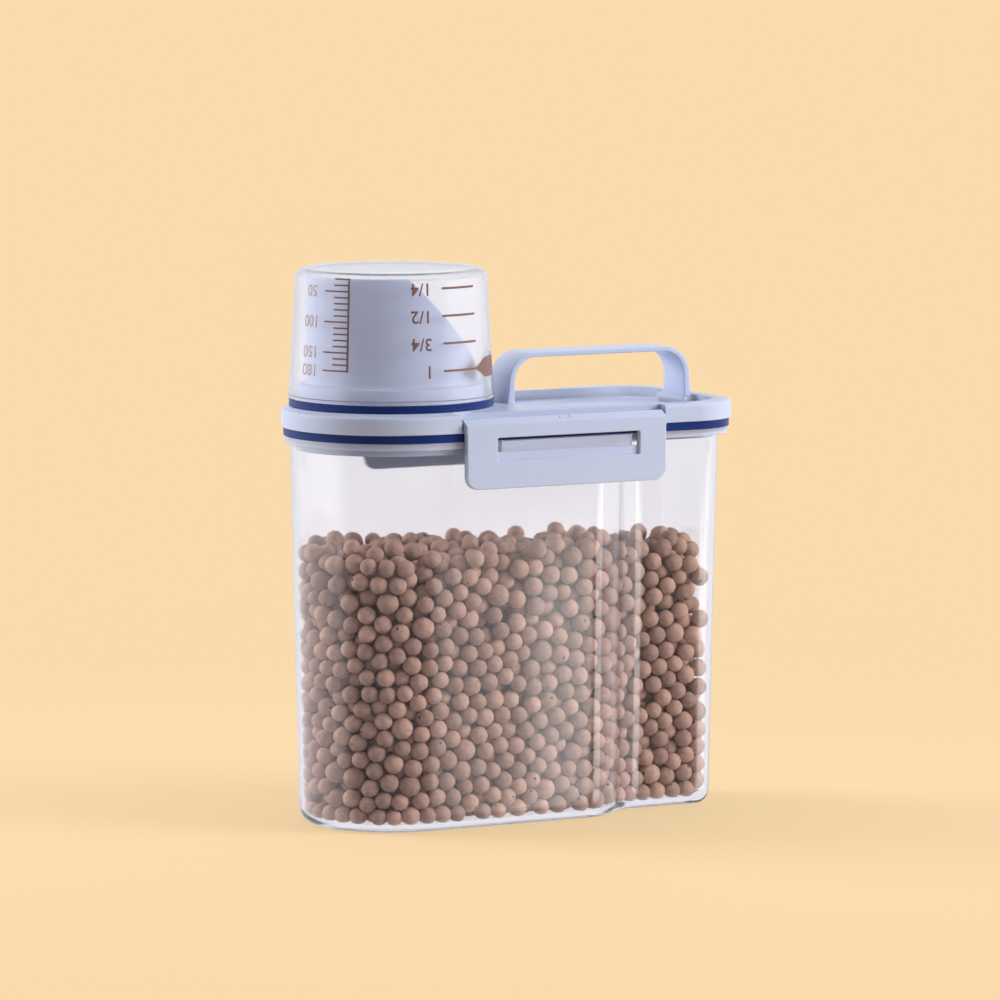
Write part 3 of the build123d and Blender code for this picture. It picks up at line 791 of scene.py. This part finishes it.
def scale_height(amount):
    """Height of the scale's mark for an amount in millilitres: one pitch for every ten."""
    return CUP_LOW.z + SCALE_FOOT + (180 - amount) / 10 * SCALE_PITCH


def build_print():
    """Printed scale: a ruled line with a tick every ten millilitres and a longer one at
    each number, four lines for the fractions, a pointer, and their plain numbers, upside
    down because the cup is upturned."""
    bars = []
    thin, bold = THIN_STROKE, BOLD_STROKE
    bars.append((SCALE_LINE - bold, SCALE_LINE + bold, scale_height(180) - bold, scale_height(30) + thin))
    for amount in range(30, 190, 10):
        reach = LONG_TICK if amount in (50, 100, 150, 180) else SHORT_TICK
        z = scale_height(amount)
        bars.append((SCALE_LINE - reach, SCALE_LINE, z - thin, z + thin))
    quarters = [scale_height(45 * k) for k in (1, 2, 3, 4)]
    for z in quarters:
        bars.append((FRACTION_START, FRACTION_END, z - bold, z + bold))
    pieces = [printed_bar(*bar) for bar in bars]
    start = np.cumsum([0] + [len(p) for p, _ in pieces[:-1]])
    points = np.concatenate([p for p, _ in pieces])
    quads = np.concatenate([q + s for (_, q), s in zip(pieces, start)])
    ink = printed_ink("brown print", 0.0)
    pale = printed_ink("pale print", 0.45)
    scale = print_object("printed_scale", points, quads)
    dress(thicken(scale), ink, "cup")
    words = [(str(amount), NUMBER_SIZE, NUMBER_PLACE, scale_height(amount)) for amount in (50, 100, 150, 180)]
    words += [(text, FRACTION_SIZE, FRACTION_PLACE, z) for text, z in zip(("1/4", "1/2", "3/4"), quarters)]
    words.append(("1", FRACTION_SIZE, WHOLE_PLACE, quarters[3]))
    for number, (text, size, u, z) in enumerate(words):
        obj = printed_word(f"printed_number_{number + 1}", text, size, u, z)
        dress(thicken(obj), pale if u < SCALE_LINE else ink, "cup")
    share = np.linspace(0, 1, 24)
    along = POINTER_START + share * POINTER_LENGTH
    half = np.interp(share, (0, 0.38, 1), (POINTER_TIP, POINTER_HALF, POINTER_HALF))
    u = np.repeat(along[:, None], 7, 1)
    z = quarters[3] + np.linspace(-1, 1, 7)[None] * half[:, None]
    pointer = print_object("printed_pointer", on_cup(u, z).reshape(-1, 3), grid_quads(u.shape))
    dress(thicken(pointer), ink, "cup")


def print_object(name, points, quads):
    """Open sheet from points and quads whose faces look away from the cup's axis."""
    mesh = bpy.data.meshes.new(name)
    mesh.from_pydata(np.asarray(points).tolist(), [], np.asarray(quads).tolist())
    mesh.update()
    face_out(mesh)
    return linked(name, mesh)


def face_out(mesh):
    """Turns a sheet over if its faces look towards the cup's axis on average."""
    normals = np.empty(len(mesh.polygons) * 3)
    centres = np.empty(len(mesh.polygons) * 3)
    mesh.polygons.foreach_get("normal", normals)
    mesh.polygons.foreach_get("center", centres)
    out = centres.reshape(-1, 3) - (CUP_AXIS_X, 0, 0)
    if (normals.reshape(-1, 3)[:, :2] * out[:, :2]).sum() < 0:
        mesh.flip_normals()


def printed_word(name, text, size, u, z):
    """Generic numerals as flat outlines turned half round, laid on the cup's wall."""
    curve = bpy.data.curves.new(name, "FONT")
    curve.body = text
    curve.size = size
    curve.align_x = "CENTER"
    curve.align_y = "CENTER"
    curve.resolution_u = 4
    curve.offset = 0.09 * MM
    holder = linked(name + "_outline", curve)
    bpy.context.view_layer.update()
    flat = bpy.data.meshes.new_from_object(holder.evaluated_get(bpy.context.evaluated_depsgraph_get()))
    bpy.data.objects.remove(holder)
    bpy.data.curves.remove(curve)
    flat.name = name
    work = bmesh.new()
    work.from_mesh(flat)
    bmesh.ops.remove_doubles(work, verts=work.verts, dist=1e-6)
    bmesh.ops.subdivide_edges(work, edges=[e for e in work.edges if e.calc_length() > 0.8 * MM], cuts=2)
    bmesh.ops.triangulate(work, faces=work.faces)
    work.to_mesh(flat)
    work.free()
    co = np.empty(len(flat.vertices) * 3)
    flat.vertices.foreach_get("co", co)
    co = co.reshape(-1, 3)
    flat.vertices.foreach_set("co", on_cup(u - co[:, 0], z - co[:, 1]).ravel())
    flat.update()
    face_out(flat)
    return linked(name, flat)


def spout_height(x):
    """Top of the spout's wall at x: level in front, then falling at 45 degrees, then
    level again low at the rear."""
    start = CUP_AXIS_X - SPOUT_LEVEL
    return np.clip(SPOUT_HIGH.z - (x - start), SPOUT_REAR, SPOUT_HIGH.z)


def build_spout():
    """Pouring spout: turned collar and neck, and a tall tube whose top follows the slant
    cut, with a rounded edge between its outer and inner walls."""
    count = 240
    t = np.linspace(0, 2 * math.pi, count, endpoint=False)
    outer, inner, foot, ease = SPOUT_OUTER, SPOUT_INNER, SPOUT_FOOT, SPOUT_EDGE
    rows = []

    def ring(r, z):
        r = np.broadcast_to(r, t.shape)
        rows.append(np.stack([CUP_AXIS_X + r * np.cos(t), r * np.sin(t), np.broadcast_to(z, t.shape)], -1))

    low = SPOUT_LOW.z
    for r, z in ((35.4, low / MM), (37.5, low / MM), (37.95, 168.5), (38.05, 169.2), (38.05, 176.0),
                 (38.7, 177.1), (38.75, 177.6), (38.1, 178.1), (38.05, 180.6), (38.05, 181.0), (40.0, 181.0),
                 (40.3, 181.1), (40.4, 181.4), (40.4, 190.0), (40.25, 190.6), (39.9, 190.9), (39.4, 191.0),
                 (38.3, 191.0), (37.6, 191.15), (37.2, 191.5), (36.95, 192.2)):
        ring(r * MM, z * MM)
    cut_outer = spout_height(CUP_AXIS_X + outer * np.cos(t))
    cut_inner = spout_height(CUP_AXIS_X + inner * np.cos(t))
    for share in np.linspace(0, 1, 26):
        ring(outer + 0.35 * MM * (1 - share), foot + (cut_outer - ease - foot) * share)
    for turn in np.linspace(0.3, math.pi / 2, 4):
        ring(outer - ease * (1 - math.cos(turn)), cut_outer - ease * (1 - math.sin(turn)))
    for turn in np.linspace(0, math.pi / 2 - 0.3, 4):
        ring(inner + ease * (1 - math.sin(turn)), cut_inner - ease * (1 - math.cos(turn)))
    for share in np.linspace(1, 0, 26):
        ring(inner + 0.3 * MM * (1 - share), foot + (cut_inner - ease - foot) * share)
    ring(35.4 * MM, 181 * MM)
    grid = np.array(rows)
    body = surface("pour_spout_body", np.concatenate([grid, grid[:1]]))
    dress(sharpen(body, 32), lilac_plastic(), "cover", ["pour_spout"])


def build_seals():
    """The two blue silicone rings: one around the spout's collar, with a shallow groove,
    and one between the lid's rim and the container's flange, with a lip below it."""
    mat = silicone()
    profile = np.array([(40.5, 0), (43.7, 0), (44.05, 0.1), (44.18, 0.4), (44.2, 1.1),
                        (43.95, 1.45), (43.9, 1.7), (43.95, 1.95), (44.2, 2.3),
                        (44.18, 3.0), (44.05, 3.28), (43.7, 3.38), (40.5, 3.38)]) * MM
    profile[:, 1] += SPOUT_SEAL_LOW
    profile = np.vstack([profile, profile[:1]])
    ring = revolved("spout_seal_ring", profile)
    dress(sharpen(ring, 50), mat, "cover", ["spout_seal"])
    z0, z1 = LID_SEAL_LOW, LID_SEAL_HIGH
    lip = z0 - SEAL_LIP
    insets = ((5.4, z0), (1.27, z0), (1.26, lip + 0.1 * MM), (1.18, lip), (1.0, lip),
              (0.92, lip + 0.1 * MM), (0.9, lip + 0.4 * MM), (0.9, z0 + 0.8 * MM), (0.9, z1 - 0.5 * MM),
              (0.95, z1 - 0.15 * MM), (1.2, z1 - 0.01 * MM), (5.4, z1 - 0.01 * MM), (5.4, z0))
    rows = np.array([ring_of(lid_plan(inset * MM), z) for inset, z in insets])
    lid_ring = surface("lid_seal_ring", rows)
    dress(sharpen(lid_ring, 50), mat, "cover", ["lid_seal"])


def handle_line(corners, radius):
    """Arch line in the XZ plane as its four parts: a foot, two circular arcs tangent to
    both sides in place of the upper corners, and the other foot."""
    a, b, c, d = (np.asarray(k, float) for k in corners)
    parts = [a[None]]
    for before, here, after in ((a, b, c), (b, c, d)):
        u = (before - here) / np.linalg.norm(before - here)
        v = (after - here) / np.linalg.norm(after - here)
        half = math.acos(float(np.clip(u @ v, -1, 1))) / 2
        middle = here + (u + v) / np.linalg.norm(u + v) * radius / math.sin(half)
        start, end = here + u * radius / math.tan(half), here + v * radius / math.tan(half)
        angle0 = math.atan2(*(start - middle)[::-1])
        angle1 = math.atan2(*(end - middle)[::-1])
        if angle1 > angle0:
            angle1 -= 2 * math.pi
        turn = np.linspace(angle0, angle1, 20)
        parts.append(np.stack([middle[0] + radius * np.cos(turn), middle[1] + radius * np.sin(turn)], 1))
    parts.append(d[None])
    return parts


def build_handle():
    """Carry handle: a strap whose section runs from an inner arch line to an outer one,
    square across with eased edges, carried from foot to foot."""
    x0, x1 = HANDLE_LOW.x, HANDLE_HIGH.x
    foot, top = HANDLE_LOW.z, HANDLE_HIGH.z
    lean, thick, leg, corner = 2.4 * MM, 2.1 * MM, 3.8 * MM, 12.5 * MM
    outer = handle_line([(x0, foot), (x0 + lean, top), (x1 - lean, top), (x1, foot)], corner)
    inner = handle_line([(x0 + leg, foot), (x0 + lean + thick, top - thick), (x1 - lean - thick, top - thick),
                         (x1 - leg, foot)], corner - thick)
    leg_share, top_share = np.linspace(0, 1, 12)[:-1, None], np.linspace(0, 1, 30)[1:-1, None]

    def full(parts):
        a, arc1, arc2, d = parts
        rise = a * (1 - leg_share) + arc1[:1] * leg_share
        bridge = arc1[-1:] * (1 - top_share) + arc2[:1] * top_share
        fall = (arc2[-1:] * (1 - leg_share) + d * leg_share)[1:]
        return np.vstack([rise, arc1, bridge, arc2, fall, d])

    out_line, in_line = full(outer), full(inner)
    half = (HANDLE_HIGH.y - HANDLE_LOW.y) / 2
    ease = 0.6 * MM
    turn = np.linspace(0, math.pi / 2, 5)
    corner_y = half - ease * (1 - np.cos(turn))
    corner_t = np.sin(turn)
    across = out_line - in_line
    size = np.linalg.norm(across, axis=1)[:, None]
    middle = (out_line + in_line) / 2
    unit = across / size
    ring_y = np.concatenate([corner_y, -corner_y[::-1], -corner_y, corner_y[::-1]])
    ring_t = np.concatenate([corner_t, corner_t[::-1], -corner_t, -corner_t[::-1]])
    sign = np.repeat((1.0, -1.0), 10)
    depth = sign * (size / 2 - ease) + ring_t * ease
    xz = middle[:, None] + unit[:, None] * depth[..., None]
    y = np.broadcast_to(ring_y, depth.shape)
    grid = np.stack([xz[..., 0], y, xz[..., 1]], -1)
    cap0 = np.broadcast_to(grid[0].mean(0), grid[0].shape)[None]
    cap1 = np.broadcast_to(grid[-1].mean(0), grid[0].shape)[None]
    strap = surface("carry_handle_strap", np.concatenate([cap0, grid, cap1]))
    dress(sharpen(strap, 40), lilac_plastic(), "cover", ["carry_handle"])


class KEEPER_OT_container(bpy.types.Operator):
    """Adds the clear container with its flange, foot recess and catch ribs"""
    bl_idname = "keeper.container"
    bl_label = "Clear container"

    def execute(self, context):
        build_shell()
        return {"FINISHED"}


class KEEPER_OT_food(bpy.types.Operator):
    """Fills the container with loose food pellets"""
    bl_idname = "keeper.food"
    bl_label = "Food pellets"

    def execute(self, context):
        build_pellets()
        return {"FINISHED"}


class KEEPER_OT_lid(bpy.types.Operator):
    """Adds the lid, its handle, the two latches and their steel pins"""
    bl_idname = "keeper.lid"
    bl_label = "Lid, handle and latches"

    def execute(self, context):
        lilac = lilac_plastic()
        for node, body in (("lid", "cover"), ("front_latch", "front_clip"), ("back_latch", "back_clip")):
            dress(smooth_copy(node), lilac, body, [node])
        steel = pin_steel()
        for node in ("front_hinge_pin", "back_hinge_pin"):
            dress_node(node, steel)
        build_handle()
        return {"FINISHED"}


class KEEPER_OT_spout(bpy.types.Operator):
    """Adds the pouring spout"""
    bl_idname = "keeper.spout"
    bl_label = "Pouring spout"

    def execute(self, context):
        build_spout()
        return {"FINISHED"}


class KEEPER_OT_seals(bpy.types.Operator):
    """Adds the two silicone seals"""
    bl_idname = "keeper.seals"
    bl_label = "Silicone seals"

    def execute(self, context):
        build_seals()
        return {"FINISHED"}


class KEEPER_OT_cup(bpy.types.Operator):
    """Adds the measuring cup and its printed scale"""
    bl_idname = "keeper.cup"
    bl_label = "Measuring cup"

    def execute(self, context):
        build_cup()
        build_print()
        return {"FINISHED"}


def soft_box(name, place, aim, width, height, radiance):
    """Rectangular studio lamp at a place, turned towards a point. Its power is radiance
    times pi times its area. Gloss and clear plastic don't show it."""
    lamp = bpy.data.lights.new(name, "AREA")
    lamp.shape = "RECTANGLE"
    lamp.size, lamp.size_y = width, height
    lamp.energy = radiance * math.pi * width * height
    obj = linked(name, lamp)
    obj.location = place
    obj.rotation_euler = (Vector(aim) - Vector(place)).to_track_quat("-Z", "Y").to_euler()
    obj.visible_glossy = False
    obj.visible_transmission = False


def reflection_card():
    """Glowing card that only gloss shows, in front of the object to the right, where the
    flat near wall mirrors it. Across, it is a soft shoulder, a brighter panel with clear
    edges, a dark gap and a broad strip that the waist mirrors; at the top it fades out.
    Light that has met a matt surface doesn't see it."""
    left, right = CARD_SHOULDER[0], CARD_STRIP[1] + 0.02
    corners = [[[left, CARD_Y, z], [right, CARD_Y, z]] for z in (CARD_LOW, CARD_HIGH)]
    card = surface("reflection_card", corners, closed=False)
    mat, tree, shader, vector = material("card glow")
    tree.nodes.remove(shader)
    axes = add(tree, "SeparateXYZ", {0: vector})
    across = axes.outputs["X"]
    shoulder = ramp(tree, across, *CARD_SHOULDER, 0.0, 0.80)
    panel = ramp(tree, across, CARD_PANEL[0], CARD_PANEL[0] + 0.002, 0.0, 1.15)
    end = ramp(tree, across, CARD_PANEL[1], CARD_PANEL[1] + 0.003, 1.0, 0.0)
    strip = ramp(tree, across, CARD_STRIP[0], CARD_STRIP[0] + 0.03, 0.0, 2.8)
    fade = ramp(tree, axes.outputs["Z"], *CARD_FADE, 1.0, 0.0)
    veil = arithmetic(tree, "MULTIPLY", arithmetic(tree, "ADD", shoulder, panel), end)
    glow = add(tree, "Emission", {
        "Strength": arithmetic(tree, "MULTIPLY", arithmetic(tree, "ADD", veil, strip), fade)})
    path = add(tree, "LightPath")
    mirrored = ramp(tree, path.outputs["Glossy Depth"], 0.0, 1.0, 0.0, 1.0)
    unspread = ramp(tree, path.outputs["Diffuse Depth"], 0.0, 1.0, 1.0, 0.0)
    seen = arithmetic(tree, "MULTIPLY", mirrored, unspread)
    finish(tree, either(tree, seen, add(tree, "BsdfTransparent"), glow))
    mat.cycles.emission_sampling = "NONE"
    card.data.materials.append(mat)
    card.visible_camera = card.visible_diffuse = card.visible_shadow = False


def studio_world(backdrop):
    """World in six tones: the backdrop for the camera, a near white behind clear
    plastic, an even fill for matt surfaces, a brighter one for those inside clear
    plastic, and for gloss a dark front and a bright back that meet where the direction's
    dot product with (0.38, 1, 0) crosses the edge."""
    world = bpy.data.worlds.new("studio")
    world.use_nodes = True
    tree = world.node_tree
    tree.nodes.clear()
    add(tree, "OutputWorld")
    path = add(tree, "LightPath").outputs

    def tone(colour, strength=1.0):
        return add(tree, "Background", {"Color": (*colour, 1), "Strength": strength})

    facing = add(tree, "VectorMath", {0: add(tree, "TexCoord").outputs["Generated"], 1: (0.38, 1.0, 0.0)},
                 operation="DOT_PRODUCT")
    back = ramp(tree, facing.outputs["Value"], -0.62, -0.36, 0.0, 1.0)
    gloss = either(tree, back, tone((0.10, 0.105, 0.125)), tone((0.86, 0.87, 0.92)))
    fill = tone((0.97, 0.975, 1.0), 0.38)
    inside = tone((1.0, 0.975, 0.985), 0.85)
    behind = tone((1.0, 0.985, 1.0), 1.02)
    through = either(tree, path["Glossy Depth"], behind, gloss)
    shown = either(tree, path["Is Glossy Ray"], fill, gloss)
    shown = either(tree, path["Is Transmission Ray"], shown, through)
    spread = either(tree, path["Is Transmission Ray"], fill, inside)
    shown = either(tree, path["Diffuse Depth"], shown, spread)
    finish(tree, either(tree, path["Is Camera Ray"], shown, tone(backdrop)))
    return world


def floor_paper(backdrop):
    """Paper floor: the camera sees the backdrop's colour, darkened only where the object
    shades it, and it thins out towards the rim. Gloss looks past it, and clear plastic
    shows it as a pale tone."""
    mat, tree, shader, vector = material("floor paper")
    shader.inputs["Roughness"].default_value = 0.9
    shader.inputs["Specular IOR Level"].default_value = 0.0
    paper = np.array(backdrop) * FLOOR_SHARE
    fibre = blend(tree, noise(tree, vector, 300.0, 3.0), paper * 0.99, paper * 1.01)
    tree.links.new(fibre, shader.inputs["Base Color"])
    distance = add(tree, "VectorMath", {0: vector}, operation="LENGTH").outputs["Value"]
    path = add(tree, "LightPath").outputs
    clear = add(tree, "BsdfTransparent")
    glow = add(tree, "Emission", {"Color": (0.76, 0.73, 0.80, 1)})
    calm = add(tree, "Emission", {"Color": (*backdrop, 1)})
    shown = either(tree, ramp(tree, path["Is Camera Ray"], 0.0, 1.0, 0.0, FLOOR_CALM), shader, calm)
    shown = either(tree, ramp(tree, distance, *FLOOR_THIN, 0.0, 1.0), shown, clear)
    shown = either(tree, path["Is Transmission Ray"], shown, glow)
    finish(tree, either(tree, path["Is Glossy Ray"], shown, clear))
    mat.cycles.emission_sampling = "NONE"
    return mat


class KEEPER_OT_stage(bpy.types.Operator):
    """Adds the floor, the background, the studio lamps and the camera"""
    bl_idname = "keeper.stage"
    bl_label = "Studio stage"

    def execute(self, context):
        scene = context.scene
        backdrop = tuple(colours().backdrop)
        lens = bpy.data.cameras.new("camera")
        lens.sensor_width = 36
        lens.lens = CAMERA_LENS
        lens.clip_end = 50
        camera = linked("camera", lens)
        camera.location = CAMERA_PLACE
        camera.rotation_euler = (math.radians(90 - CAMERA_TILT), 0, math.radians(CAMERA_TURN))
        scene.camera = camera
        scene.world = studio_world(backdrop)

        radius = np.array(FLOOR_RINGS)
        t = np.linspace(0, 2 * math.pi, 96, endpoint=False)
        grid = np.stack([radius[:, None] * np.cos(t), radius[:, None] * np.sin(t),
                         np.full((len(radius), len(t)), FLOOR_DROP)], -1)
        floor = surface("studio_floor", grid)
        if floor.data.polygons[0].normal.z < 0:
            floor.data.flip_normals()
        floor.data.materials.append(floor_paper(backdrop))

        reflection_card()
        for lamp in LAMPS:
            soft_box(*lamp)
        return {"FINISHED"}


class KEEPER_PT_panel(bpy.types.Panel):
    """Lists the keeper's pieces"""
    bl_idname = "KEEPER_PT_panel"
    bl_label = "Dry food keeper"
    bl_space_type = "VIEW_3D"
    bl_region_type = "UI"
    bl_category = "Keeper"

    def draw(self, context):
        for operator in OPERATORS:
            self.layout.operator(operator.bl_idname)
        for group in (context.scene.keeper_sizes, context.scene.keeper_colours):
            for label in group.__annotations__:
                self.layout.prop(group, label)


OPERATORS = (KEEPER_OT_container, KEEPER_OT_food, KEEPER_OT_lid, KEEPER_OT_spout, KEEPER_OT_seals,
             KEEPER_OT_cup, KEEPER_OT_stage)
CLASSES = (KeeperSizes, KeeperColours) + OPERATORS + (KEEPER_PT_panel,)


def register():
    """Registers every class and puts the two property groups on the scene."""
    for item in CLASSES:
        bpy.utils.register_class(item)
    bpy.types.Scene.keeper_sizes = bpy.props.PointerProperty(type=KeeperSizes)
    bpy.types.Scene.keeper_colours = bpy.props.PointerProperty(type=KeeperColours)


def unregister():
    """Takes the property groups and classes away again."""
    del bpy.types.Scene.keeper_colours
    del bpy.types.Scene.keeper_sizes
    for item in reversed(CLASSES):
        bpy.utils.unregister_class(item)


def main():
    """Builds every piece and the stage."""
    register()
    bpy.context.scene.view_settings.view_transform = "Standard"
    bpy.ops.keeper.container()
    bpy.ops.keeper.food()
    bpy.ops.keeper.lid()
    bpy.ops.keeper.spout()
    bpy.ops.keeper.seals()
    bpy.ops.keeper.cup()
    bpy.ops.keeper.stage()


if __name__ == "__main__":
    main()
